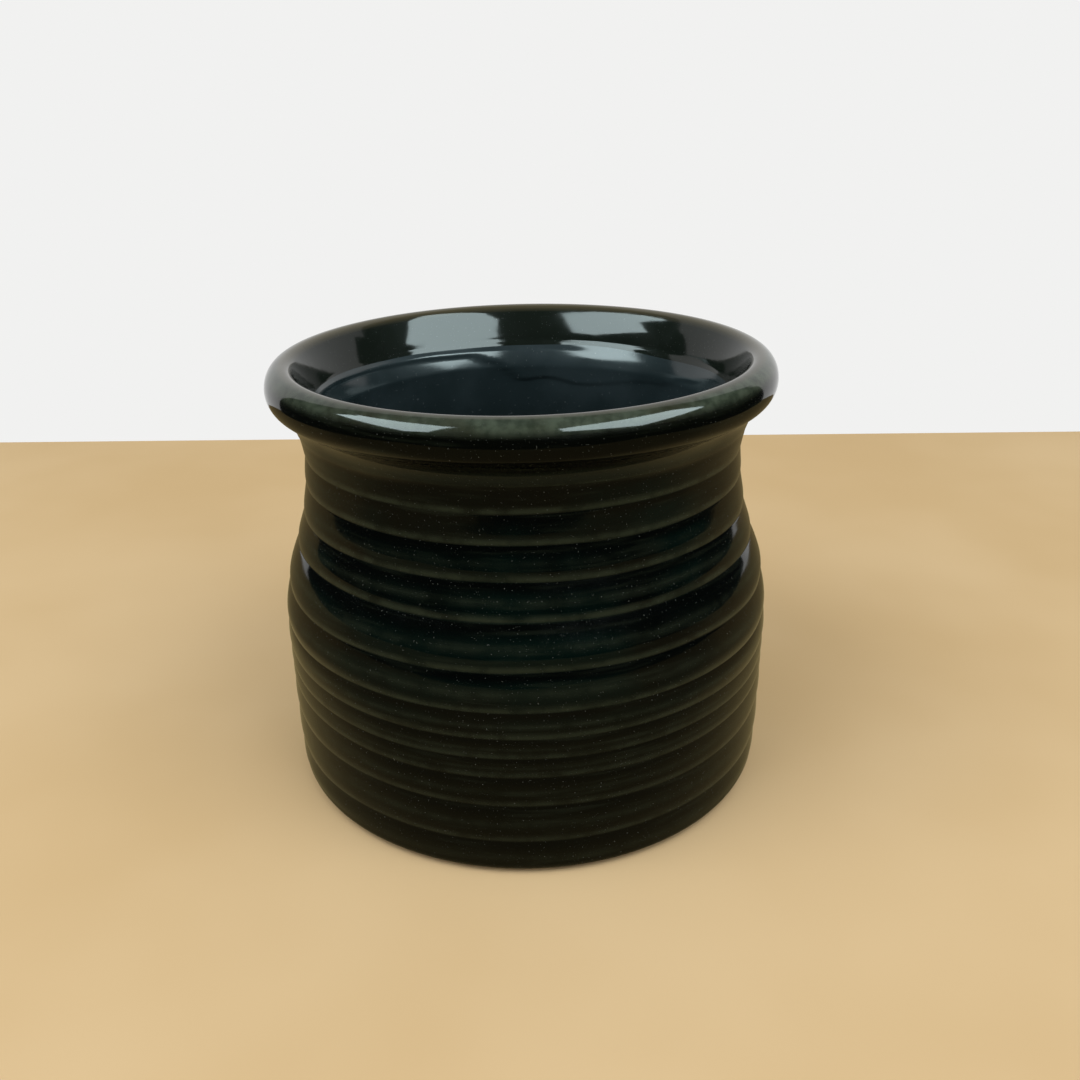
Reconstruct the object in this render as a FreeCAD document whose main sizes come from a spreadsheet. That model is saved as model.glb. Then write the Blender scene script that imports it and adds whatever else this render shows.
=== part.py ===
# A thrown stoneware planter: rolled rim, drawn-in neck, barrel belly with throwing bands, turned foot.
# The fired clay carries two glaze coats that meet a little way down inside the mouth, and a rubber plug
# closes the drain hole. Millimetres, +Z up, origin on the table under the middle of the pot.
import FreeCAD, Part
import math
import os
import Sketcher
from FreeCAD import Vector

# Driving sizes. Lengths are in millimetres and angles in degrees.
SIZES = {
    "rim_diameter": 150,           # over the glazed roll
    "pot_height": 132,             # table to the crest of the rim
    "rim_roll_diameter": 12.4,     # outer side of the glazed roll, as a full round
    "roll_undercut_angle": 72,     # where the neck runs into the roll, below the roll's middle
    "under_rim_fillet": 7,         # hollow between the neck and the underside of the roll
    "lip_inside_round": 3.5,       # inner side of the glazed lip
    "lip_flare": 9.9,              # crest of the rim out from the inside of the neck
    "dip_depth": 13.5,             # crest of the rim down to where the two glazes meet inside
    "neck_drop": 27,               # crest of the rim down to the narrowest neck
    "belly_swell": 10.3,           # belly out from the neck
    "belly_level": 47,             # table to the widest belly
    "foot_draw_in": 0.8,           # foot of the wall in from the belly
    "wall_thickness": 5.5,         # clay only, measured level
    "glaze_thickness": 0.5,        # each coat
    "band_edge_angle": 11,         # how steeply a throwing band dips into its grooves
    "base_edge_round": 1.8,        # rounded bottom edge of the wall, in the clay
    "base_edge_gap": 1.5,          # clay of that edge above the table
    "foot_ledge": 2,               # rounded edge to the outside of the foot ring
    "foot_ring_width": 9,
    "foot_ring_height": 2,
    "floor_thickness": 7,          # clay only
    "heel_round": 12,              # inside, between the floor and the wall, in the clay
    "drain_diameter": 16,
    "drain_glaze_margin": 1.5,     # bare clay round the drain hole
    "plug_clearance": 0.3,         # plug shank in the drain hole, each side
    "plug_taper": 0.8,             # plug shank's end in from its top, each side
    "plug_flange": 6,              # plug head out past the drain hole, each side
    "plug_head_thickness": 3,
    "plug_head_round": 1.2,
    "plug_stem_diameter": 7,
    "plug_stem_height": 3,
    "plug_knob_diameter": 11,
}

# Heights of the throwing bands from the table up, as the potter's fingers left them on a pot of this
# height. The last one is the hollow under the rim. A taller or shorter wall keeps their rhythm.
BAND_HEIGHTS = (12, 12, 9.5, 6, 6, 8, 11, 12.7, 9.8, 9.5, 8.5, 8.2, 6.8)

doc = FreeCAD.newDocument("planter")
sheet = doc.addObject("Spreadsheet::Sheet", "dims")
for row, (alias, size) in enumerate(SIZES.items(), start=1):
    sheet.set(f"A{row}", alias)
    sheet.set(f"B{row}", str(size))
    sheet.setAlias(f"B{row}", alias)
doc.recompute()


# Profiles are written as texts in the sheet's sizes, so that each corner stays tied to them.
def number(text):
    """The value of a text now."""
    return float(sheet.evalExpression(text))


def origin_plane(body, role):
    return next(plane for plane in body.Origin.OriginFeatures if plane.Role == role)


def new_body(label):
    body = doc.addObject("PartDesign::Body", label)
    body.Label = label
    return body


def new_sketch(body, name, role):
    sketch = body.newObject("Sketcher::SketchObject", name)
    sketch.AttachmentSupport = [(origin_plane(body, role), "")]
    sketch.MapMode = "FlatFace"
    return sketch


def arc_between(start, end, radius, turn):
    """The shorter arc from start to end, turning left (+1) or right (-1) on the way."""
    chord = end - start
    to_centre = Vector(-chord.y, chord.x, 0).normalize() * turn
    rise = math.sqrt(radius ** 2 - chord.Length ** 2 / 4)
    centre = (start + end) / 2 + to_centre * rise
    first, last = (start, end) if turn > 0 else (end, start)
    angles = [math.atan2(point.y - centre.y, point.x - centre.x) for point in (first, last)]
    return Part.ArcOfCircle(Part.Circle(centre, Vector(0, 0, 1), radius), *angles)


def tie(sketch, constraint, text):
    index = sketch.addConstraint(constraint)
    sketch.setExpression(f"Constraints[{index}]", text)


def turned_profile(body, corners):
    """Half of a turned piece's section. Each corner is (radius, height, edge), and edge is the way on to
    the next corner: None for a straight one, or (radius, turn) for an arc."""
    sketch = new_sketch(body, f"{body.Label}_section", "XZ_Plane")
    places = [Vector(number(radius), number(height), 0) for radius, height, edge in corners]
    ends = []
    for place, following, (radius, height, edge) in zip(places, places[1:] + places[:1], corners):
        if edge is None:
            sketch.addGeometry(Part.LineSegment(place, following))
            ends.append((1, 2))
        else:
            arc_radius, turn = edge
            sketch.addGeometry(arc_between(place, following, number(arc_radius), turn))
            ends.append((1, 2) if turn > 0 else (2, 1))
    count = len(corners)
    for index in range(count):
        onward = (index + 1) % count
        sketch.addConstraint(
            Sketcher.Constraint("Coincident", index, ends[index][1], onward, ends[onward][0])
        )
    for index, (radius, height, edge) in enumerate(corners):
        start = ends[index][0]
        place = places[index]
        measures = ((radius, place.x, "DistanceX", -2), (height, place.y, "DistanceY", -1))
        for text, value, kind, axis in measures:
            if text == "0":
                sketch.addConstraint(Sketcher.Constraint("PointOnObject", index, start, axis))
            else:
                tie(sketch, Sketcher.Constraint(kind, -1, 1, index, start, value), text)
        if edge is not None:
            tie(sketch, Sketcher.Constraint("Radius", index, number(edge[0])), edge[0])
    return sketch


def turn_on_wheel(body, corners):
    revolution = body.newObject("PartDesign::Revolution", f"{body.Label}_turned")
    revolution.Profile = turned_profile(body, corners)
    revolution.ReferenceAxis = (revolution.Profile[0], ["V_Axis"])
    revolution.Angle = 360
    doc.recompute()


# Main lines of the pot, measured on the glazed surfaces.
glaze = "dims.glaze_thickness"
rim_radius = "dims.rim_diameter / 2"
roll_radius = "dims.rim_roll_diameter / 2"
roll_middle_radius = f"({rim_radius} - {roll_radius})"
roll_middle_height = f"(dims.pot_height - {roll_radius})"
neck_level = "(dims.pot_height - dims.neck_drop)"
neck_inside = f"({roll_middle_radius} - dims.lip_flare)"
neck_outside = f"({neck_inside} + dims.wall_thickness + 2 * {glaze})"
belly_inside = f"({neck_inside} + dims.belly_swell)"
belly_outside = f"({neck_outside} + dims.belly_swell)"
base_outside = f"({belly_outside} - dims.foot_draw_in)"

# The shoulder sweeps from belly to neck in two equal arcs, the same inside and outside.
shoulder_height = f"({neck_level} - dims.belly_level)"
shoulder_arc = f"(({shoulder_height} ^ 2 + dims.belly_swell ^ 2) / (4 * dims.belly_swell))"
shoulder_middle = f"((dims.belly_level + {neck_level}) / 2)"

# The inside of the neck opens to the lip in one arc that runs tangent into the lip's inner round.
lip_rise = "(dims.neck_drop - dims.lip_inside_round)"
lip_squares = f"dims.lip_flare ^ 2 + {lip_rise} ^ 2 - dims.lip_inside_round ^ 2"
flare_arc = f"(({lip_squares}) / (2 * (dims.lip_flare - dims.lip_inside_round)))"
flare_middle_radius = f"({neck_inside} + {flare_arc})"
flare_span = f"({flare_arc} - dims.lip_inside_round)"
lip_lean = f"(({roll_middle_radius} - {flare_middle_radius}) / {flare_span})"
lip_climb = f"({lip_rise} / {flare_span})"
dip_rise = "(dims.neck_drop - dims.dip_depth)"

# Levels of the floor and of the underside.
floor_top = "(dims.foot_ring_height + dims.floor_thickness)"
edge_top = "(dims.base_edge_gap + dims.base_edge_round)"
heel_top = f"({floor_top} + dims.heel_round)"
drain_radius = "(dims.drain_diameter / 2)"


def undercut(depth):
    """Where the neck runs into the roll, that deep under the glazed surface."""
    reach = f"({roll_radius} - {depth})"
    radius = f"{roll_middle_radius} + {reach} * cos(dims.roll_undercut_angle)"
    height = f"{roll_middle_height} - {reach} * sin(dims.roll_undercut_angle)"
    return f"({radius})", f"({height})"


def wall_radius(height):
    """Outside of the glazed wall at a height, before the bands swell out of it."""
    foot = f"({belly_outside} - dims.foot_draw_in * (1 - {height} / dims.belly_level) ^ 2)"
    below = f"({height} - dims.belly_level)"
    belly = f"({belly_outside} - {shoulder_arc} + sqrt({shoulder_arc} ^ 2 - {below} ^ 2))"
    above = f"({neck_level} - {height})"
    neck = f"({neck_outside} + {shoulder_arc} - sqrt({shoulder_arc} ^ 2 - {above} ^ 2))"
    under_radius, under_height = undercut("0")
    climb = f"(({height} - {neck_level}) / ({under_height} - {neck_level}))"
    flare = f"({neck_outside} + ({under_radius} - {neck_outside}) * {climb} ^ 2)"
    value = number(height)
    if value < number("dims.belly_level"):
        return foot
    if value < number(shoulder_middle):
        return belly
    if value < number(neck_level):
        return neck
    return flare


def outside_corners(depth):
    """Outside of the pot from the rounded bottom edge up to the crest, that deep under its surface."""
    edge_round = f"(dims.base_edge_round + {glaze} - {depth})"
    edge_middle = f"({base_outside} - {glaze} - dims.base_edge_round)"
    under_height = undercut("0")[1]
    corners = [
        (edge_middle, f"({edge_top} - {edge_round})", (edge_round, 1)),
    ]
    groove_radius = f"({base_outside} - {depth})"
    groove_height = edge_top
    reached = 0
    for band in BAND_HEIGHTS[:-1]:
        swell_arc = f"({band / sum(BAND_HEIGHTS)} * {under_height} / (2 * sin(dims.band_edge_angle)))"
        corners.append((groove_radius, groove_height, (swell_arc, 1)))
        reached += band
        groove_height = f"({reached / sum(BAND_HEIGHTS)} * {under_height})"
        groove_radius = f"({wall_radius(groove_height)} - {depth})"
    corners.append((groove_radius, groove_height, ("dims.under_rim_fillet", -1)))
    corners.append((*undercut(depth), (f"({roll_radius} - {depth})", 1)))
    return corners


def dip_corner(depth, edge):
    """Where the two glazes meet on the inside of the mouth, that deep under the glazed surface."""
    reach = f"sqrt(({flare_arc} - {depth}) ^ 2 - {dip_rise} ^ 2)"
    return (f"({flare_middle_radius} - {reach})", f"({neck_level} + {dip_rise})", edge)


def lip_corners(depth):
    """Over the crest and down inside the mouth to where the glazes meet, that deep under the surface."""
    neck_arc = f"({flare_arc} - {depth})"
    lip_end_radius = f"({flare_middle_radius} + {lip_lean} * {neck_arc})"
    lip_end_height = f"({neck_level} + {lip_climb} * {neck_arc})"
    return [
        (roll_middle_radius, f"(dims.pot_height - {depth})", (f"(dims.lip_inside_round - {depth})", 1)),
        (lip_end_radius, lip_end_height, (neck_arc, 1)),
    ]


def inside_corners(depth):
    """Inside of the pot from where the glazes meet to the floor, that deep under the glazed surface."""
    neck_arc = f"({flare_arc} - {depth})"
    heel_arc = f"(dims.heel_round - {glaze} + {depth})"
    heel_middle = f"({belly_inside} + {glaze} - dims.heel_round)"
    shoulder_radius = f"(({belly_inside} + {neck_inside}) / 2 + {depth})"
    return [
        dip_corner(depth, (neck_arc, 1)),
        (f"({neck_inside} + {depth})", neck_level, (shoulder_arc, 1)),
        (shoulder_radius, shoulder_middle, (shoulder_arc, -1)),
        (f"({belly_inside} + {depth})", "dims.belly_level", None),
        (f"({belly_inside} + {depth})", heel_top, (heel_arc, -1)),
        (heel_middle, f"({floor_top} + {glaze} - {depth})", None),
    ]


def backwards(corners):
    """The same corners and arcs, walked the other way."""
    edges = [None] + [edge and (edge[0], -edge[1]) for radius, height, edge in corners[:-1]]
    return [(radius, height, edge) for (radius, height, old), edge in zip(corners[::-1], edges[::-1])]


def make_clay_body():
    """The fired stoneware: wall, rolled rim, floor and foot ring, with the drain hole cut through."""
    body = new_body("clay_body")
    ring_outside = f"({base_outside} - {glaze} - dims.base_edge_round - dims.foot_ledge)"
    ring_inside = f"({ring_outside} - dims.foot_ring_width)"
    underside = [
        ("0", "dims.foot_ring_height", None),
        (ring_inside, "dims.foot_ring_height", None),
        (ring_inside, "0", None),
        (ring_outside, "0", None),
        (ring_outside, "dims.base_edge_gap", None),
    ]
    wall = outside_corners(glaze) + lip_corners(glaze) + inside_corners(glaze)
    turn_on_wheel(body, underside + wall + [("0", floor_top, None)])
    solid_floor = body.Shape.Volume
    hole = new_sketch(body, "drain_circle", "XY_Plane")
    hole.addGeometry(Part.Circle(Vector(0, 0, 0), Vector(0, 0, 1), number(drain_radius)))
    hole.addConstraint(Sketcher.Constraint("Coincident", 0, 3, -1, 1))
    tie(hole, Sketcher.Constraint("Radius", 0, number(drain_radius)), drain_radius)
    pocket = body.newObject("PartDesign::Pocket", "drain_hole")
    pocket.Profile = hole
    pocket.Type = "ThroughAll"
    pocket.Reversed = True
    doc.recompute()
    hole_volume = math.pi * number(drain_radius) ** 2 * number("dims.floor_thickness")
    if not math.isclose(solid_floor - body.Shape.Volume, hole_volume, rel_tol=0.001):
        raise RuntimeError("the drain hole does not go through the floor")
    return body


def make_outer_glaze():
    """The glass coat on the outside, from under the bottom edge over the rim to where the glazes meet."""
    body = new_body("outer_glaze")
    face, back = (
        outside_corners(depth) + lip_corners(depth) + [dip_corner(depth, None)] for depth in ("0", glaze)
    )
    turn_on_wheel(body, face + backwards(back))
    return body


def make_liner_glaze():
    """The glass coat on the inside, from where the glazes meet to the bare clay round the drain hole."""
    body = new_body("liner_glaze")
    glaze_edge = f"({drain_radius} + dims.drain_glaze_margin)"
    floor_edge = [
        (glaze_edge, f"({floor_top} + {glaze})", None),
        (glaze_edge, floor_top, None),
    ]
    turn_on_wheel(body, inside_corners("0") + floor_edge + backwards(inside_corners(glaze)))
    return body


def make_drain_plug():
    """The moulded rubber stopper: a tapered shank, a head that sits on the floor and a knob."""
    body = new_body("drain_plug")
    shank_top = f"({drain_radius} - dims.plug_clearance)"
    head_radius = f"({drain_radius} + dims.plug_flange)"
    shank_end = f"(0 - dims.floor_thickness - {glaze})"
    stem_radius = "(dims.plug_stem_diameter / 2)"
    stem_top = "(dims.plug_head_thickness + dims.plug_stem_height)"
    knob_radius = "(dims.plug_knob_diameter / 2)"
    knob_top = f"({stem_top} + {knob_radius} + sqrt({knob_radius} ^ 2 - {stem_radius} ^ 2))"
    head_edge = "(dims.plug_head_thickness - dims.plug_head_round)"
    corners = [
        ("0", shank_end, None),
        (f"({shank_top} - dims.plug_taper)", shank_end, None),
        (shank_top, "0", None),
        (head_radius, "0", None),
        (head_radius, head_edge, ("dims.plug_head_round", 1)),
        (f"({head_radius} - dims.plug_head_round)", "dims.plug_head_thickness", None),
        (stem_radius, "dims.plug_head_thickness", None),
        (stem_radius, stem_top, (knob_radius, 1)),
        ("0", knob_top, None),
    ]
    turn_on_wheel(body, corners)
    body.setExpression("Placement.Base.z", f"{floor_top} + {glaze}")
    return body


subparts = [make_clay_body(), make_outer_glaze(), make_liner_glaze(), make_drain_plug()]
doc.recompute()

for item in doc.Objects:
    if "Invalid" in item.State or "Error" in item.State:
        raise RuntimeError(f"{item.Label} did not build")
for body in subparts:
    if body.Shape.isNull() or not body.Shape.isValid() or len(body.Shape.Solids) != 1:
        raise RuntimeError(f"{body.Label} is not one sound solid")

os.makedirs("parts", exist_ok=True)
for body in subparts:
    body.Shape.exportStep(f"parts/{body.Label}.step")
    box = body.Shape.optimalBoundingBox()
    print(
        f"{body.Label}: {body.Shape.Volume / 1000:.1f} cm3, "
        f"{2 * box.XMax:.1f} mm across, from {box.ZMin:.2f} to {box.ZMax:.2f} mm"
    )
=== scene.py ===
import bpy
import math
from mathutils import Matrix, Quaternion, Vector, noise


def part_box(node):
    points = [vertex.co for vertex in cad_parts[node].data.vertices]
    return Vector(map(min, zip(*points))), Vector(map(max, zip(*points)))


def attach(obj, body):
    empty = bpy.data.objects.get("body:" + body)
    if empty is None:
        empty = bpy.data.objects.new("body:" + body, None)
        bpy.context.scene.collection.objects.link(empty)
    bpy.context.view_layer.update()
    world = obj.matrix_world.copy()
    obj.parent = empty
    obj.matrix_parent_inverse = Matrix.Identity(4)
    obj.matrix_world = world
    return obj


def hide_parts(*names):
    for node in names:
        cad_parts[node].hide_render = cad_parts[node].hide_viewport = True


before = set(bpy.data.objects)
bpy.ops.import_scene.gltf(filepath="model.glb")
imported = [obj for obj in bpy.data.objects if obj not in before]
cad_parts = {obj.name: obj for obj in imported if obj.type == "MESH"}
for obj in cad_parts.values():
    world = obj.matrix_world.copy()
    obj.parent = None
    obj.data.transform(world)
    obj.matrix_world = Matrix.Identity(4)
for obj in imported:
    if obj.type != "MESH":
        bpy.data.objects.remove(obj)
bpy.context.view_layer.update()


# The clay body. Buff stoneware, thrown on a wheel in one piece with a folded-over rim, and turned at the
# foot. The potter's fingers left the bands that ring the wall. Both glazes are fused to it, so that bare clay
# shows only under the foot and round the drain.
MM = 0.001
hair = 0.001 * MM                  # too little to see
columns = 192                      # faces round the pot
floor_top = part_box("liner_glaze")[0].z

# Heights of the bands, from the table up
band_heights = [height * MM for height in (12, 12, 9.5, 6, 6, 8, 11, 12.7, 9.8, 9.5, 8.5, 8.2)]
# Rows of a band as shares of its height, closer together at its two grooves
band_rows = (0, 0.03, 0.07, 0.12, 0.18, 0.25, 0.32, 0.4, 0.5, 0.62, 0.74, 0.85, 0.93, 0.97, 1)
band_edge = 0.34                   # share of a band that turns under at its lower edge
band_slope = 1.6                   # how the rest of it eases up to the next groove, as a power
low_band_swell = 0.033             # how far a low band stands out of its grooves, as a share of its height
shoulder_band_more = 0.021         # how much more the bands of the shoulder do
neck_band_less = 0.7               # how much of that is gone again at the neck
shoulder_start = (35 * MM, 60 * MM)
shoulder_end = (84 * MM, 102 * MM)
first_band_full = 7 * MM
last_band_fades = 110 * MM
finger_stray = 0.05                # how far a finger strayed up or down from the level, in bands
finger_press = 0.45                # how unevenly it pressed

# Outside of the wall, along the bottom of its grooves
base_radius = 74.4 * MM
belly_radius = 75.2 * MM
belly_level = 47 * MM
neck_radius = 64.9 * MM
neck_level = 105 * MM
shoulder_swell = belly_radius - neck_radius
shoulder_arc = ((neck_level - belly_level) ** 2 / shoulder_swell + shoulder_swell) / 4
edge_round = 1.8 * MM
edge_top = 3.3 * MM

# The rolled rim
crest_radius = 69.6 * MM
roll_level = 125.1 * MM
roll_out = 4.9 * MM
roll_up = 6.2 * MM
roll_down = 5.5 * MM
undercut_angle = math.radians(-72)
under_radius = crest_radius + roll_out * math.cos(undercut_angle)
under_level = roll_level + roll_down * math.sin(undercut_angle)
under_rim_hollow = 0.55 * MM
lip_round = 2.5 * MM
pot_crest = roll_level + roll_up
lip_end_angle = math.radians(180 - 37)

# The mouth opens to the lip in two finger-wide bands with a groove between them
lip_end_radius = crest_radius + lip_round * math.cos(lip_end_angle)
lip_end_level = pot_crest - lip_round + lip_round * math.sin(lip_end_angle)
mouth_groove_level = 120.3 * MM
mouth_groove_radius = 62.8 * MM
mouth_low_level = 112 * MM
mouth_low_radius = 59.2 * MM
mouth_band_swell = 0.2 * MM
mouth_band_press = 0.45 * MM       # how much more they swell where the fingers pressed
press_angle = 145                  # where that is, in degrees from the front: at the back right
press_reach = (15, 60)             # how far it goes to both sides, in degrees

# The rest of the inside
neck_inside = 59.4 * MM
belly_inside = neck_inside + shoulder_swell
heel_round = 12 * MM
drain_radius = 8 * MM
drain_margin = 1.5 * MM

# Where the two glazes meet inside the mouth: degrees round from the front, and height in millimetres
meeting_level = 118.5 * MM
meeting_line = (
    (-180, 118.7), (-162, 118.6), (-140, 119), (-104, 119.8), (-40, 120.5), (40, 120.5), (101, 119.2),
    (130, 118.2), (158, 119), (180, 118.7),
)

# Turned foot, from the end of the outer glaze inwards and up through the drain: radius and height
foot_section = [
    (radius * MM, height * MM)
    for radius, height in (
        (72.6, 1.5), (71.2, 1.5), (70.75, 1.35), (70.6, 1.0), (70.6, 0.4), (70.2, 0), (62.0, 0), (61.6, 0.4),
        (61.6, 1.6), (61.1, 2), (40, 2), (20, 2), (8.6, 2), (8.15, 2.15), (8, 2.6), (8, 5), (8, 8.6),
        (8.1, 8.9), (8.4, 9), (9.5, 9),
    )
]


def smooth_step(low, high, value):
    share = min(max((value - low) / (high - low), 0), 1)
    return share * share * (3 - 2 * share)


def front_angle(place):
    """Angle round the pot from the front, positive to the right."""
    return math.atan2(place.x, -place.y)


def round_the_axis(angle, radius, height):
    return Vector((radius * math.sin(angle), -radius * math.cos(angle), height))


def band_level(bands):
    """Height of the wall after so many bands, counted up from the table."""
    whole = min(math.floor(bands), len(band_heights) - 1)
    return sum(band_heights[:whole]) + (bands - whole) * band_heights[whole]


def bands_below(height):
    """How many bands lie below a height."""
    bands = 0
    for band in band_heights:
        if height < band:
            return bands + height / band
        height -= band
        bands += 1
    return bands


def shoulder_curve(height, belly, neck):
    """The two equal arcs from belly to neck, the same inside and outside."""
    if height < (belly_level + neck_level) / 2:
        return belly - shoulder_arc + math.sqrt(shoulder_arc ** 2 - (height - belly_level) ** 2)
    return neck + shoulder_arc - math.sqrt(shoulder_arc ** 2 - (neck_level - height) ** 2)


def wall_radius(height):
    if height < belly_level:
        return belly_radius - (belly_radius - base_radius) * (1 - height / belly_level) ** 2
    if height < neck_level:
        return shoulder_curve(height, belly_radius, neck_radius)
    climb = (height - neck_level) / (under_level - neck_level)
    return neck_radius + (under_radius - neck_radius) * climb ** 2


def band_swell(height):
    """How far a band stands out of its grooves, as a share of its height: most at the shoulder."""
    crisp = smooth_step(*shoulder_start, height) - neck_band_less * smooth_step(*shoulder_end, height)
    return low_band_swell + shoulder_band_more * crisp


def band_face(across):
    """Outline of a band from its lower groove to its upper one: a crisp round, then a long easy slope."""
    if across < band_edge:
        return 1 - (1 - across / band_edge) ** 2
    return 1 - ((across - band_edge) / (1 - band_edge)) ** band_slope


def band_pitch(bands):
    """Height of the band that a place lies on, after so many bands."""
    return band_heights[min(int(bands), len(band_heights) - 1)]


def uneven(angle, bands, change_round, change_up, start=0):
    """A value that wanders about 0 round the pot and from band to band."""
    return noise.noise((
        change_round * math.sin(angle) + start, change_round * math.cos(angle), change_up * bands,
    ))


def finger_drift(angle, bands):
    """How far the potter's finger strayed up or down from the level, in bands."""
    return finger_stray * uneven(angle, bands, change_round=1.7, change_up=0.9)


def finger_weight(angle, bands):
    """How hard the finger pressed, about 1."""
    return 1 + finger_press * uneven(angle, bands, change_round=1.3, change_up=0.8, start=7)


def inside_radius(height, angle):
    if height < belly_level:
        return belly_inside
    if height < neck_level:
        return shoulder_curve(height, belly_inside, neck_inside)
    if height < mouth_low_level:
        climb = (height - neck_level) / (mouth_low_level - neck_level)
        return neck_inside + (mouth_low_radius - neck_inside) * climb ** 2
    away = abs((math.degrees(angle) - press_angle + 180) % 360 - 180)
    pressed = 1 - smooth_step(*press_reach, away)
    low, high = mouth_low_level, mouth_groove_level
    low_radius, high_radius = mouth_low_radius, mouth_groove_radius
    if height > mouth_groove_level:
        low, high = mouth_groove_level, lip_end_level
        low_radius, high_radius = mouth_groove_radius, lip_end_radius
    climb = (height - low) / (high - low)
    swell = (mouth_band_swell + mouth_band_press * pressed) * 4 * climb * (1 - climb)
    return low_radius + (high_radius - low_radius) * climb - swell


def wavy_height(line, angle):
    """Height of a wavy line round the inside, at an angle from the front."""
    degrees = math.degrees(angle)
    for (left, low), (right, high) in zip(line, line[1:]):
        if left <= degrees <= right:
            return (low + (high - low) * smooth_step(left, right, degrees)) * MM


def arc(middle, across, upright, start, end, steps):
    """Points of a round or oval stretch of a section, as (radius, height)."""
    angles = [start + (end - start) * step / steps for step in range(steps + 1)]
    return [
        (middle[0] + across * math.cos(angle), middle[1] + upright * math.sin(angle)) for angle in angles
    ]


def throw(name, section, faces_round=columns):
    """A skin made by turning a section line about the pot's axis, starting from the back."""
    bpy.ops.object.select_all(action="DESELECT")
    bpy.ops.mesh.primitive_plane_add(size=MM)
    skin = bpy.context.object
    skin.name = name
    bpy.ops.object.mode_set(mode="EDIT")
    bpy.ops.mesh.merge(type="CENTER")
    places = [Vector((0, radius, height)) for radius, height in section]
    bpy.ops.transform.translate(value=places[0])
    for place, following in zip(places, places[1:]):
        bpy.ops.mesh.extrude_region_move(TRANSFORM_OT_translate={"value": following - place})
    bpy.ops.object.mode_set(mode="OBJECT")
    wheel = skin.modifiers.new("wheel", "SCREW")
    wheel.steps = faces_round
    wheel.render_steps = faces_round
    wheel.use_merge_vertices = True
    wheel.merge_threshold = hair
    bpy.ops.object.modifier_apply(modifier=wheel.name)
    return skin


def pick(*pieces):
    """Selects these alone, the first one active."""
    bpy.ops.object.select_all(action="DESELECT")
    for piece in pieces:
        piece.select_set(True)
    bpy.context.view_layer.objects.active = pieces[0]


def joined(*skins, facing_axis=False):
    """One smooth skin, with what lies together merged and every face turned to the air."""
    pick(*skins)
    if len(skins) > 1:
        bpy.ops.object.join()
    bpy.ops.object.mode_set(mode="EDIT")
    bpy.ops.mesh.select_all(action="SELECT")
    bpy.ops.mesh.remove_doubles(threshold=0.01 * MM)
    bpy.ops.mesh.dissolve_degenerate(threshold=0.002 * MM)
    bpy.ops.mesh.normals_make_consistent(inside=facing_axis)
    bpy.ops.object.mode_set(mode="OBJECT")
    bpy.ops.object.shade_smooth()
    return skins[0]


def copied(piece, name):
    pick(piece)
    bpy.ops.object.duplicate()
    twin = bpy.context.object
    twin.name = name
    return twin


# The wall: its bands lie on the barrel's curve, none of them quite even round the pot
groove_level = sum(band_heights)
wall_heights = [band_level(band + row) for band in range(len(band_heights)) for row in band_rows[:-1]]
wall_heights = [edge_top] + [height for height in wall_heights if height > edge_top] + [groove_level]
wall = throw("wall", [(wall_radius(height), height) for height in wall_heights])
for vertex in wall.data.vertices:
    angle = front_angle(vertex.co)
    bands = bands_below(vertex.co.z + hair)
    pitch = band_pitch(bands)
    settled = smooth_step(edge_top, first_band_full, vertex.co.z)
    settled *= 1 - smooth_step(last_band_fades, groove_level, vertex.co.z)
    height = vertex.co.z + pitch * finger_drift(angle, bands) * settled
    swell = pitch * band_swell(height) * band_face(bands % 1) * finger_weight(angle, bands) * settled
    vertex.co = round_the_axis(angle, wall_radius(height) + swell, height)

bottom_edge = throw(
    "bottom_edge",
    arc((base_radius - edge_round, edge_top), edge_round, edge_round, math.radians(-90), 0, 5)[:-1]
    + [(wall_radius(edge_top), edge_top)],
)

# The rolled rim, from the last groove of the wall over the crest to the inner side of the lip
groove_radius = wall_radius(groove_level)
hollow = []
hollow_steps = 6
dip_in, dip_up = 0.8, 0.6          # which way the hollow under the roll dips into the clay
for step in range(hollow_steps):
    share = step / hollow_steps
    dip = under_rim_hollow * 4 * share * (1 - share)
    radius = groove_radius + (under_radius - groove_radius) * share - dip_in * dip
    hollow.append((radius, groove_level + (under_level - groove_level) * share + dip_up * dip))
rim = throw(
    "rim",
    hollow
    + arc((crest_radius, roll_level), roll_out, roll_down, undercut_angle, 0, 9)[:-1]
    + arc((crest_radius, roll_level), roll_out, roll_up, 0, math.radians(90), 14)[:-1]
    + arc(
        (crest_radius, pot_crest - lip_round),
        lip_round, lip_round, math.radians(90), lip_end_angle, 6,
    ),
)

# The mouth, from the lip down to the wavy line where the glazes meet, and the rest of the inside
mouth_rows = (0, 0.08, 0.16, 0.24, 0.32, 0.4, 0.48, 0.56, 0.64, 0.72, 0.79, 0.85, 0.89, 0.92, 0.95, 0.98, 1)
mouth_drop = lip_end_level - meeting_level
mouth_heights = [lip_end_level - mouth_drop * row for row in mouth_rows]
mouth = throw("mouth", [(inside_radius(height, 0), height) for height in mouth_heights])
for vertex in mouth.data.vertices:
    angle = front_angle(vertex.co)
    row = (lip_end_level - vertex.co.z) / mouth_drop
    height = lip_end_level - (lip_end_level - wavy_height(meeting_line, angle)) * row
    vertex.co = round_the_axis(angle, inside_radius(height, angle), height)

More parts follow.
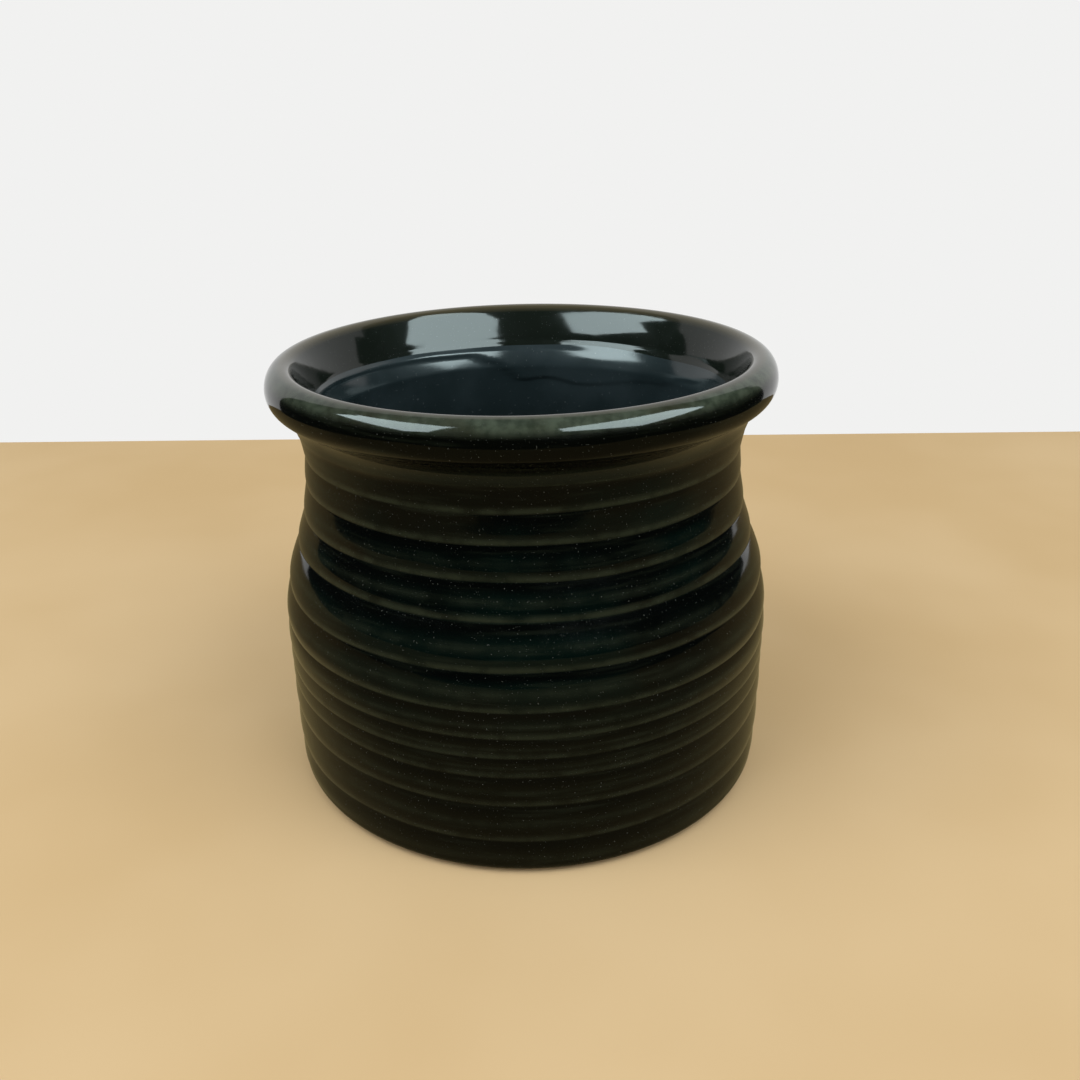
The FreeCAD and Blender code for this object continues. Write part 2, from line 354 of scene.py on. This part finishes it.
throat_level = 92 * MM
throat_drop = meeting_level - throat_level
heel_top = floor_top + heel_round
heel_middle = belly_inside - heel_round
throat_rows = 60
belly_rows = 16
inside_heights = [meeting_level - throat_drop * row / throat_rows for row in range(throat_rows + 1)]
inside_heights += [
    throat_level - (throat_level - heel_top) * row / belly_rows for row in range(1, belly_rows)
]
inside = throw(
    "inside",
    [(inside_radius(height, 0), height) for height in inside_heights]
    + arc((heel_middle, heel_top), heel_round, heel_round, 0, math.radians(-90), 10)
    + [(radius * MM, floor_top) for radius in (48, 38, 28, 18)]
    + [(drain_radius + drain_margin, floor_top)],
)
for vertex in inside.data.vertices:
    if vertex.co.z > throat_level:
        angle = front_angle(vertex.co)
        row = (vertex.co.z - throat_level) / throat_drop
        height = throat_level + (wavy_height(meeting_line, angle) - throat_level) * row
        vertex.co = round_the_axis(angle, inside_radius(height, angle), height)

foot = throw("foot", foot_section)

# A hand-thrown pot is never quite true: the rim rises to the front and right, and the wall wavers a little
rim_rise_front = math.tan(math.radians(0.99))
rim_rise_right = math.tan(math.radians(0.45))
tilt_start = 20 * MM
tilt_end = 125 * MM
rim_lean = -0.3 * MM
waver = 0.25 * MM
waver_round = 18                   # how quickly the waver changes, level and upwards, per metre
waver_up = 40


def tilt_share(height):
    """How much of the rim's tilt shows at a height."""
    return smooth_step(tilt_start, tilt_end, height)


def tilt_lift(place):
    """How far the rim's tilt lifts a place of the pot."""
    return (place.x * rim_rise_right - place.y * rim_rise_front) * tilt_share(place.z)


for skin in (wall, bottom_edge, rim, mouth, inside, foot):
    for vertex in skin.data.vertices:
        place = vertex.co.copy()
        share = tilt_share(place.z)
        outward = Vector((place.x, place.y, 0)).normalized()
        where = (place.x * waver_round, place.y * waver_round, place.z * waver_up)
        lie = noise.noise(where) * waver * share
        vertex.co = place + outward * lie + Vector((rim_lean * share, 0, tilt_lift(place)))

outside_skin = joined(wall, bottom_edge, rim, mouth)
inside_skin = joined(inside, facing_axis=True)
clay_body = joined(copied(outside_skin, "stoneware_body"), copied(inside_skin, "inside_clay"), foot)


def node(material, kind, **values):
    """A shader node with these values on its input sockets, named as in Blender with _ for spaces."""
    made = material.node_tree.nodes.new(kind)
    for name, value in values.items():
        socket = made.inputs[name.replace("_", " ")]
        if isinstance(value, bpy.types.NodeSocket):
            material.node_tree.links.new(value, socket)
        else:
            socket.default_value = value
    return made


def new_material(name):
    """An empty material that is shaded by one Principled shader, and the shader."""
    material = bpy.data.materials.new(name)
    material.use_nodes = True
    return material, material.node_tree.nodes["Principled BSDF"]


def connect(material, output, socket):
    material.node_tree.links.new(output, socket)


def blended(material, share, low, high):
    """A colour between two, by a share from 0 to 1."""
    mix = material.node_tree.nodes.new("ShaderNodeMix")
    mix.data_type = "RGBA"
    ends = [socket for socket in mix.inputs if socket.type == "RGBA"]
    for socket, colour in zip(ends, (low, high)):
        if isinstance(colour, bpy.types.NodeSocket):
            connect(material, colour, socket)
        else:
            socket.default_value = (*colour, 1)
    connect(material, share, mix.inputs[0])
    return next(socket for socket in mix.outputs if socket.type == "RGBA")


def ramped(material, value, low, high, to_low=0.0, to_high=1.0):
    """A value carried smoothly from one range to another."""
    span = node(
        material, "ShaderNodeMapRange",
        Value=value, From_Min=low, From_Max=high, To_Min=to_low, To_Max=to_high,
    )
    span.interpolation_type = "SMOOTHSTEP"
    return span.outputs["Result"]


def object_place(material):
    return material.node_tree.nodes.new("ShaderNodeTexCoord").outputs["Object"]


def patchy(material, place, scale, detail):
    """A soft noise from 0 to 1, with so many patches to a metre."""
    return node(material, "ShaderNodeTexNoise", Vector=place, Scale=scale, Detail=detail).outputs["Fac"]


bump_depth = 0.4 * MM
stoneware, shader = new_material("bare_stoneware")
place = object_place(stoneware)
toast = patchy(stoneware, place, 45, 4)
grog = patchy(stoneware, place, 900, 3)
toasted = (0.34, 0.22, 0.12)
pale_buff = (0.45, 0.33, 0.2)
iron_brown = (0.2, 0.12, 0.07)
buff = blended(stoneware, ramped(stoneware, toast, 0.35, 0.65), toasted, pale_buff)
sandy = blended(stoneware, ramped(stoneware, grog, 0.56, 0.7), buff, iron_brown)
connect(stoneware, sandy, shader.inputs["Base Color"])
shader.inputs["Roughness"].default_value = 0.85
grain = node(stoneware, "ShaderNodeBump", Height=grog, Strength=0.25, Distance=bump_depth)
connect(stoneware, grain.outputs["Normal"], shader.inputs["Normal"])
clay_body.data.materials.append(stoneware)
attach(clay_body, "pot")
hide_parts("clay_body")


# The outer glaze. A glossy bottle-green stoneware glaze that the pot was dipped in upside down: it covers the
# wall and the rolled rim and ends inside the mouth in a wavy line. It lies near black where it is thick,
# teal on the bands of the shoulder, kept there as painted light where the windows shine on it, and olive
# brown where it ran thin over the crest.
glaze_thickness = 0.5 * MM
crisp_edge = math.radians(50)      # edges that turn by more than this stay sharp

# Pale line along the lower edge of each band, where the glaze runs thin, and a fainter one along its middle
break_start = -0.3 * MM
break_crest = 0.7 * MM
break_end = 2.5 * MM
faint_low, faint_middle, faint_high = 0.34, 0.5, 0.66
faint_strength = 0.4
faint_ends = (88 * MM, 97 * MM)
groove_nudge = 0.004               # in bands, so that a groove's own row counts to the band above it
pool_start = (0.64, 0.86)          # where the glaze pools in the upper part of a band
low_line_share = 0.65              # how strong the lines are low on the wall
line_rise = (30 * MM, 60 * MM)

# Browned crest: narrow outside and wide inside, and fainter at the front of the pot
crest_core = 0.5 * MM
crest_outside = 2.2 * MM
crest_inside = 5.6 * MM
crest_flatness = 2.5
front_browning = 0.4
browning_turn = (math.radians(60), math.radians(120))

# Moss green on top of the roll, most at the front right
moss_angle = math.radians(25)
moss_mean, moss_range = 0.62, 0.38
moss_start = (roll_level + 2.2 * MM, roll_level + 4.6 * MM)
moss_inner_edge = (crest_radius - 0.5 * MM, crest_radius + 1.5 * MM)
mouth_edge = (crest_radius - 2 * MM, crest_radius)


def coat(skin, name, thickness=glaze_thickness, thickness_group=""):
    """A glaze over a skin of the clay, all of one thickness or as its group says."""
    pick(skin)
    skin.name = name
    layer = skin.modifiers.new("glaze", "SOLIDIFY")
    layer.thickness = thickness
    layer.offset = 1
    layer.vertex_group = thickness_group
    bpy.ops.object.modifier_apply(modifier=layer.name)
    bpy.ops.object.shade_smooth_by_angle(angle=crisp_edge)
    return skin


spans = {"crest": [], "roll": [], "mouth": [], "break": [], "pooled": []}
for vertex in outside_skin.data.vertices:
    place = vertex.co
    angle = front_angle(place)
    height = place.z - tilt_lift(place)
    radius = math.hypot(place.x, place.y)
    on_wall = height < groove_level + 0.5 * MM and radius > wall_radius(height) - 3 * MM
    thin_line = 0
    pooled = 0
    if on_wall:
        bands = bands_below(height)
        bands += groove_nudge - finger_drift(angle, bands)
        across = bands % 1
        above = across * band_pitch(bands)
        thin_line = smooth_step(break_start, break_crest, above)
        thin_line *= 1 - smooth_step(break_crest, break_end, above)
        faint_line = smooth_step(faint_low, faint_middle, across)
        faint_line *= 1 - smooth_step(faint_middle, faint_high, across)
        faint_line *= 1 - smooth_step(*faint_ends, height)
        thin_line += faint_strength * faint_line * finger_weight(angle + 2, bands)
        thin_line *= low_line_share + (1 - low_line_share) * smooth_step(*line_rise, height)
        pooled = smooth_step(*pool_start, across)
    from_crest = math.hypot(radius - crest_radius, crest_flatness * (height - pot_crest))
    crest_width = crest_outside if radius > crest_radius else crest_inside
    browned = front_browning + (1 - front_browning) * smooth_step(*browning_turn, abs(angle))
    spans["crest"].append(browned * (1 - smooth_step(crest_core, crest_width, from_crest)))
    mossy = moss_mean + moss_range * math.cos(angle - moss_angle)
    on_roll = smooth_step(*moss_start, height) * mossy * smooth_step(*moss_inner_edge, radius)
    spans["roll"].append(on_roll)
    spans["mouth"].append(0 if on_wall else 1 - smooth_step(*mouth_edge, radius))
    spans["break"].append(thin_line)
    spans["pooled"].append(pooled)
for name, values in spans.items():
    outside_skin.data.attributes.new(name, "FLOAT", "POINT").data.foreach_set("value", values)
outer_glaze = coat(outside_skin, "bottle_green_coat")

bottle_green, shader = new_material("bottle_green_glaze")
place = object_place(bottle_green)


def painted(material, name):
    """A value that was laid on the mesh, such as where the glaze runs thin."""
    reader = node(material, "ShaderNodeAttribute")
    reader.attribute_name = name
    return reader.outputs["Fac"]


def times(material, first, second):
    product = node(material, "ShaderNodeMath")
    product.operation = "MULTIPLY"
    connect(material, first, product.inputs[0])
    connect(material, second, product.inputs[1])
    return product.outputs[0]


cloud = patchy(bottle_green, place, 24, 3)
streak = patchy(bottle_green, place, 160, 3)
mottle = patchy(bottle_green, place, 380, 4)
speck_noise = patchy(bottle_green, place, 2200, 1)
black = (0.0006, 0.0012, 0.001)
teal = (0.0008, 0.0046, 0.0038)
olive_black = (0.0022, 0.0026, 0.0014)
pale_green = (0.018, 0.025, 0.0165)
moss = (0.062, 0.082, 0.058)
dark_moss = (0.028, 0.04, 0.027)
roll_brown = (0.026, 0.027, 0.015)
# Painted shade: near black for the wall under the rolled rim, where the roll's shadow falls.
under_roll_shade = (0.001, 0.0015, 0.0008)
olive = (0.075, 0.066, 0.036)
mouth_olive = (0.008, 0.012, 0.009)
pale_speck = (0.07, 0.08, 0.075)
level = node(bottle_green, "ShaderNodeSeparateXYZ", Vector=place).outputs["Z"]
# Painted light: the teal glaze colour is kept to the shoulder, where the window light falls on it; below
# about 40 mm the wall is near-black olive.
window_lit_shoulder = ramped(bottle_green, level, 40 * MM, 62 * MM)
# Painted shade: the wall just under the rolled rim, from 112 to 118 mm up, is darkened to near black where
# the roll's shadow falls.
under_roll_shade_share = ramped(bottle_green, level, 112 * MM, 118 * MM)
wall_green = blended(bottle_green, ramped(bottle_green, cloud, 0.36, 0.6), black, teal)
wall_colour = blended(bottle_green, window_lit_shoulder, olive_black, wall_green)
wall_colour = blended(bottle_green, under_roll_shade_share, wall_colour, under_roll_shade)
pooled = blended(bottle_green, painted(bottle_green, "pooled"), wall_colour, black)
line = times(bottle_green, painted(bottle_green, "break"), ramped(bottle_green, streak, 0.3, 0.62, 0.35, 1.1))
scratch_flatness = 14
flattened = node(bottle_green, "ShaderNodeVectorMath", Vector=place)
flattened.operation = "MULTIPLY"
flattened.inputs[1].default_value = (1, 1, scratch_flatness)
scratch = patchy(bottle_green, flattened.outputs[0], 45, 4)
scratched = blended(bottle_green, ramped(bottle_green, scratch, 0.5, 0.75, 0.0, 0.25), pooled, pale_green)
lined = blended(bottle_green, line, scratched, pale_green)
roll_green = blended(bottle_green, ramped(bottle_green, mottle, 0.3, 0.7), dark_moss, moss)
roll_patch = ramped(bottle_green, patchy(bottle_green, place, 45, 2), 0.42, 0.62, 0.0, 0.75)
roll_colour = blended(bottle_green, roll_patch, roll_green, roll_brown)
rolled = blended(bottle_green, painted(bottle_green, "roll"), lined, roll_colour)
mouthed = blended(bottle_green, painted(bottle_green, "mouth"), rolled, mouth_olive)
crested = blended(bottle_green, painted(bottle_green, "crest"), mouthed, olive)
# Fine pale grey specks scattered over the glaze.
specked = blended(bottle_green, ramped(bottle_green, speck_noise, 0.71, 0.79), crested, pale_speck)
connect(bottle_green, specked, shader.inputs["Base Color"])
connect(bottle_green, ramped(bottle_green, streak, 0.3, 0.7, 0.06, 0.11), shader.inputs["Roughness"])
shader.inputs["IOR"].default_value = 1.5
shader.inputs["Specular IOR Level"].default_value = 0.3
ripple = patchy(bottle_green, place, 110, 2)
skin_bump = node(bottle_green, "ShaderNodeBump", Height=ripple, Strength=0.12, Distance=bump_depth)
connect(bottle_green, skin_bump.outputs["Normal"], shader.inputs["Normal"])
outer_glaze.data.materials.clear()
outer_glaze.data.materials.append(bottle_green)
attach(outer_glaze, "pot")
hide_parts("outer_glaze")


# The liner glaze. A glossy slate-blue glaze that was poured into the pot and swilled round before the outside
# was dipped. It covers the inside from the meeting line down to a bare margin round the drain. In the kiln
# its top sagged a little, and the thick sag stopped in a wavy edge round the neck.
run_thickness = 1.1 * MM
run_edge = 0.8 * MM                # half of the height over which the sag rounds off at its lower edge
light_fade = 5 * MM                # how far below the meeting line the sag is full, where it is light
heavy_fade = 1.6 * MM              # the same where it is heavy
light_share = 0.5                  # how thick the light sag is, next to the heavy one
heavy_right = (math.radians(145), math.radians(175))
heavy_left = (0, math.radians(90))
run_line = (
    (-180, 107), (-170, 113.5), (-162, 116.2), (-140, 116.9), (-104, 117.9), (-40, 118.5), (40, 118.5),
    (101, 117), (115, 114), (130, 110), (160, 105.8), (172, 108), (180, 107),
)
lining = inside_skin.vertex_groups.new(name="lining")
for vertex in inside_skin.data.vertices:
    height = vertex.co.z - tilt_lift(vertex.co)
    angle = front_angle(vertex.co)
    above = height - wavy_height(run_line, angle)
    room = wavy_height(meeting_line, angle) - height
    heavy = smooth_step(*heavy_right, angle) if angle > 0 else smooth_step(*heavy_left, -angle)
    fade = light_fade + (heavy_fade - light_fade) * heavy
    run = smooth_step(-run_edge, run_edge, above) * smooth_step(0, fade, room)
    run *= light_share + (1 - light_share) * heavy
    share = glaze_thickness + (run_thickness - glaze_thickness) * run
    lining.add([vertex.index], share / run_thickness, "REPLACE")
liner_glaze = coat(inside_skin, "slate_blue_coat", run_thickness, "lining")

slate_blue, shader = new_material("slate_blue_glaze")
place = object_place(slate_blue)
cloud = patchy(slate_blue, place, 35, 4)
fleck = patchy(slate_blue, place, 800, 2)
deep_slate = (0.016, 0.027, 0.03)
mid_slate = (0.027, 0.042, 0.047)
pale_slate = (0.05, 0.065, 0.07)
slate = blended(slate_blue, ramped(slate_blue, cloud, 0.35, 0.65), deep_slate, mid_slate)
flecked = blended(slate_blue, ramped(slate_blue, fleck, 0.66, 0.76), slate, pale_slate)
connect(slate_blue, flecked, shader.inputs["Base Color"])
connect(slate_blue, ramped(slate_blue, cloud, 0.3, 0.7, 0.12, 0.2), shader.inputs["Roughness"])
shader.inputs["IOR"].default_value = 1.5
shader.inputs["Specular IOR Level"].default_value = 0.4
liner_glaze.data.materials.clear()
liner_glaze.data.materials.append(slate_blue)
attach(liner_glaze, "pot")
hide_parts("liner_glaze")


# The drain plug. One soft rubber moulding: a tapered shank that fills the drain, a flange that seals on the
# glazed floor, and a stem with a round knob to pull it out by. A fine parting line runs round the knob.
plug_base, plug_top = (corner.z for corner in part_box("drain_plug"))
plug_faces = 72
seal_level = floor_top + glaze_thickness
head_top = seal_level + 3 * MM
head_round = 1.2 * MM
head_round_middle = 12.8 * MM
dish_depth = 0.3 * MM              # shallow dish in the top of the head
stem_round = 1.5 * MM
stem_round_middle = 5 * MM
knob_radius = 5.5 * MM
knob_middle = plug_top - knob_radius
knob_low = math.radians(-48)
parting_turn = math.radians(3)     # half of the parting line round the knob
parting_line = 0.12 * MM
quarter = math.radians(90)

# Radius and height in millimetres, of the shank above the plug's base and of the head above its seal
shank_end = ((0, 0), (6.3, 0), (6.75, 0.12), (6.95, 0.5))
head_underside = ((7.65, -0.5), (7.9, 0.02), (13.5, 0.02), (13.9, 0.2), (14, 0.6))
plug_section = [(radius * MM, plug_base + height * MM) for radius, height in shank_end]
plug_section += [(radius * MM, seal_level + height * MM) for radius, height in head_underside]
plug_section += arc((head_round_middle, head_top - head_round), head_round, head_round, 0, quarter, 6)
plug_section += [(10.5 * MM, head_top), (10 * MM, head_top - dish_depth), (6 * MM, head_top - dish_depth)]
stem_round_level = head_top - dish_depth + stem_round
plug_section += arc(
    (stem_round_middle, stem_round_level), stem_round, stem_round, -quarter, -2 * quarter, 5,
)
plug_section += arc((0, knob_middle), knob_radius, knob_radius, knob_low, -parting_turn, 10)
plug_section += [(knob_radius + parting_line, knob_middle)]
plug_section += arc((0, knob_middle), knob_radius, knob_radius, parting_turn, quarter, 14)
drain_plug = joined(throw("rubber_plug", plug_section, plug_faces))
pick(drain_plug)
bpy.ops.object.shade_smooth_by_angle(angle=crisp_edge)

plug_rubber, shader = new_material("plug_rubber")
place = object_place(plug_rubber)
bloom = patchy(plug_rubber, place, 120, 4)
rubber_black = (0.012, 0.012, 0.012)
rubber_bloom = (0.024, 0.024, 0.023)
rubber = blended(plug_rubber, ramped(plug_rubber, bloom, 0.35, 0.7), rubber_black, rubber_bloom)
connect(plug_rubber, rubber, shader.inputs["Base Color"])
connect(plug_rubber, ramped(plug_rubber, bloom, 0.3, 0.7, 0.45, 0.6), shader.inputs["Roughness"])
drain_plug.data.materials.append(plug_rubber)
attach(drain_plug, "plug")
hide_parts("drain_plug")


# The table top and the white wall behind it. A plain warm floor that the pot stands on, with painted shade
# that only the glaze's reflections see, and a plain backdrop that is white from the front and clear from the
# back.
table_size = 30.0
bpy.ops.object.select_all(action="DESELECT")
bpy.ops.mesh.primitive_plane_add(size=table_size, location=(0, 0, 0))
table = bpy.context.object
table.name = "table_top"
warm_floor, shader = new_material("warm_floor")
place = object_place(warm_floor)
board = patchy(warm_floor, place, 6, 3)
deep_sand = (0.69, 0.495, 0.26)
pale_sand = (0.755, 0.56, 0.315)
# Painted shade that only reflections see: the floor shown darker than it is, darker farther out from the pot,
# and darkest in front of it, where the pot's own shadow falls.
mirrored_near_shade = (0.42, 0.32, 0.14)
mirrored_far_shade = (0.24, 0.18, 0.08)
mirrored_front_shadow = (0.16, 0.13, 0.065)
near_reach = (0.12, 0.2)           # metres out from the pot's axis
front_reach = (-0.11, 0)           # metres towards the back
sand = blended(warm_floor, ramped(warm_floor, board, 0.3, 0.7), deep_sand, pale_sand)
path = node(warm_floor, "ShaderNodeLightPath")
towards_back = node(warm_floor, "ShaderNodeSeparateXYZ", Vector=place).outputs["Y"]
far_out = node(warm_floor, "ShaderNodeVectorMath")
far_out.operation = "LENGTH"
connect(warm_floor, place, far_out.inputs[0])
away = ramped(warm_floor, far_out.outputs["Value"], *near_reach)
beside = blended(warm_floor, away, mirrored_near_shade, mirrored_far_shade)
shaded = blended(warm_floor, ramped(warm_floor, towards_back, *front_reach), mirrored_front_shadow, beside)
# Glossy rays see the painted shade and the painted shadow in front; the camera sees the plain floor.
mirrored = blended(warm_floor, path.outputs["Is Glossy Ray"], sand, shaded)
connect(warm_floor, mirrored, shader.inputs["Base Color"])
shader.inputs["Roughness"].default_value = 0.8
shader.inputs["Specular IOR Level"].default_value = 0
table.data.materials.append(warm_floor)

wall_distance = 0.311
wall_height = 0.7
wall_turn = math.radians(-1.3)
room_white = (0.88, 0.88, 0.872)
bpy.ops.mesh.primitive_plane_add(
    size=1,
    location=(0, wall_distance, wall_height / 2),
    rotation=(math.radians(90), 0, wall_turn),
)
backdrop = bpy.context.object
backdrop.scale = (table_size, wall_height, 1)
backdrop.visible_shadow = False
backdrop.visible_diffuse = False
backdrop.name = "white_wall"
white_wall = bpy.data.materials.new("white_wall")
white_wall.use_nodes = True
nodes = white_wall.node_tree.nodes
nodes.remove(nodes["Principled BSDF"])
path = node(white_wall, "ShaderNodeLightPath")
side = node(white_wall, "ShaderNodeNewGeometry")
paper = node(white_wall, "ShaderNodeBsdfDiffuse", Color=(0.86, 0.86, 0.855, 1))
glow = node(white_wall, "ShaderNodeEmission", Color=(*room_white, 1), Strength=1.0)
seen = node(white_wall, "ShaderNodeMath")
seen.operation = "MAXIMUM"
connect(white_wall, path.outputs["Is Camera Ray"], seen.inputs[0])
connect(white_wall, path.outputs["Is Glossy Ray"], seen.inputs[1])
front = node(white_wall, "ShaderNodeMixShader")
connect(white_wall, seen.outputs[0], front.inputs[0])
connect(white_wall, paper.outputs[0], front.inputs[1])
connect(white_wall, glow.outputs[0], front.inputs[2])
clear = node(white_wall, "ShaderNodeBsdfTransparent")
either = node(white_wall, "ShaderNodeMixShader")
connect(white_wall, side.outputs["Backfacing"], either.inputs[0])
connect(white_wall, front.outputs[0], either.inputs[1])
connect(white_wall, clear.outputs[0], either.inputs[2])
connect(white_wall, either.outputs[0], nodes["Material Output"].inputs["Surface"])
backdrop.data.materials.append(white_wall)


# The studio light. Two large soft lamps light the pot, and pale cards and dark flags that only gloss can see
# stand round it as a photographer sets them, to draw the window shapes and dark edges in the glaze.
aim_level = 0.1                    # height on the pot that the cards face
lamp_aim_level = 0.06
window_blue = (0.8, 0.98, 1.0)
window_radiance = 12
flag_dark = (0.9, 1.0, 1.0)
flag_radiance = 0.02


def card(name, middle, width, height, radiance, colour, lean=0):
    """A flat card facing the middle of the pot that shows only in reflections, leaning by some degrees."""
    bpy.ops.object.select_all(action="DESELECT")
    facing = (Vector((0, 0, aim_level)) - Vector(middle)).to_track_quat("Z", "Y")
    facing = facing @ Quaternion((0, 0, 1), math.radians(lean))
    bpy.ops.mesh.primitive_plane_add(size=1, location=middle, rotation=facing.to_euler())
    made = bpy.context.object
    made.name = name
    made.scale = (width, height, 1)
    bpy.ops.object.transform_apply(location=False, rotation=False, scale=True)
    paint = bpy.data.materials.new(name)
    paint.use_nodes = True
    parts = paint.node_tree.nodes
    parts.remove(parts["Principled BSDF"])
    shine = node(paint, "ShaderNodeEmission", Color=(*colour, 1), Strength=radiance)
    connect(paint, shine.outputs[0], parts["Material Output"].inputs["Surface"])
    made.data.materials.append(paint)
    made.visible_camera = False
    made.visible_diffuse = False
    made.visible_shadow = False
    made.visible_transmission = False
    return made


def around(azimuth, elevation, distance):
    """A place round the pot: azimuth from the front, positive to the right, in degrees."""
    turn = math.radians(azimuth)
    rise = math.radians(elevation)
    level = distance * math.cos(rise)
    return (level * math.sin(turn), -level * math.cos(turn), aim_level + distance * math.sin(rise))


window_elevation = 38
window_distance = 1.1
window_height = 0.74
for name, azimuth, width, lean in (("window_left", -65, 1.12, -13), ("window_right", 48, 1.58, -8)):
    middle = around(azimuth, window_elevation, window_distance)
    card(name, middle, width, window_height, window_radiance, window_blue, lean)


def flag(name, start, end, foot, head):
    """A dark upright flag between two places and two heights, for reflections only."""
    middle = ((start[0] + end[0]) / 2, (start[1] + end[1]) / 2, (foot + head) / 2)
    length = math.hypot(end[0] - start[0], end[1] - start[1])
    made = card(name, middle, length, head - foot, flag_radiance, flag_dark)
    made.rotation_euler = (math.radians(90), 0, math.atan2(end[1] - start[1], end[0] - start[0]))


# Three low flags round the front and sides, one between the windows and two at the windows' far edges
flag_side = 0.35
flag_front = -0.3
flag_back = 0.17
flag_head = 0.33
flag("flag_front", (-flag_side, flag_front), (flag_side, flag_front), foot=0.045, head=flag_head)
flag("flag_left", (-flag_side, flag_front), (-flag_side, flag_back), foot=0.04, head=flag_head)
flag("flag_right", (flag_side, flag_front), (flag_side, flag_back), foot=0.04, head=flag_head)
flag("flag_middle", (-0.149, -0.2), (0.053, -0.2), foot=0.16, head=0.75)
flag("flag_high_left", (-flag_side, -0.005), (-flag_side, 0.16), foot=0.19, head=0.45)
flag("flag_high_right", (0.24, -0.033), (0.24, 0.1), foot=0.22, head=0.5)


def lamp(name, azimuth, elevation, distance, size, power):
    place = Vector(around(azimuth, elevation, distance))
    facing = (Vector((0, 0, lamp_aim_level)) - place).to_track_quat("-Z", "Y").to_euler()
    bpy.ops.object.light_add(type="AREA", location=place, rotation=facing)
    made = bpy.context.object
    made.name = name
    made.data.size = size
    made.data.energy = power
    made.visible_glossy = False
    made.visible_camera = False


lamp("lamp_left", azimuth=-58, elevation=48, distance=1.2, size=0.9, power=6)
lamp("lamp_right", azimuth=48, elevation=48, distance=1.2, size=0.9, power=6)

world = bpy.data.worlds.new("pale_room")
bpy.context.scene.world = world
world.use_nodes = True
sky = world.node_tree.nodes["Background"]
path = node(world, "ShaderNodeLightPath")
diffuse_sky = (0.5, 0.5, 0.5)
ceiling = (0.16, 0.165, 0.165)
unseen = blended(world, path.outputs["Is Glossy Ray"], diffuse_sky, ceiling)
connect(world, blended(world, path.outputs["Is Camera Ray"], unseen, room_white), sky.inputs["Color"])
sky.inputs["Strength"].default_value = 1
bpy.context.scene.view_settings.view_transform = "Standard"


# The camera stands close in front of the pot and a little above its rim, as for the photograph.
camera_distance = 0.3152
camera_height = 0.2102
camera_yaw = math.radians(-0.83)
camera_pitch = math.radians(66)    # 90 degrees would look level
camera_roll = math.radians(-0.73)
bpy.ops.object.camera_add()
camera = bpy.context.object
camera.data.sensor_width = 36
camera.data.lens = 36.07
camera.data.clip_start = 0.01
camera.matrix_world = (
    Matrix.Translation((0, -camera_distance, camera_height))
    @ Matrix.Rotation(camera_yaw, 4, "Z")
    @ Matrix.Rotation(camera_pitch, 4, "X")
    @ Matrix.Rotation(camera_roll, 4, "Z")
)
bpy.context.scene.camera = camera
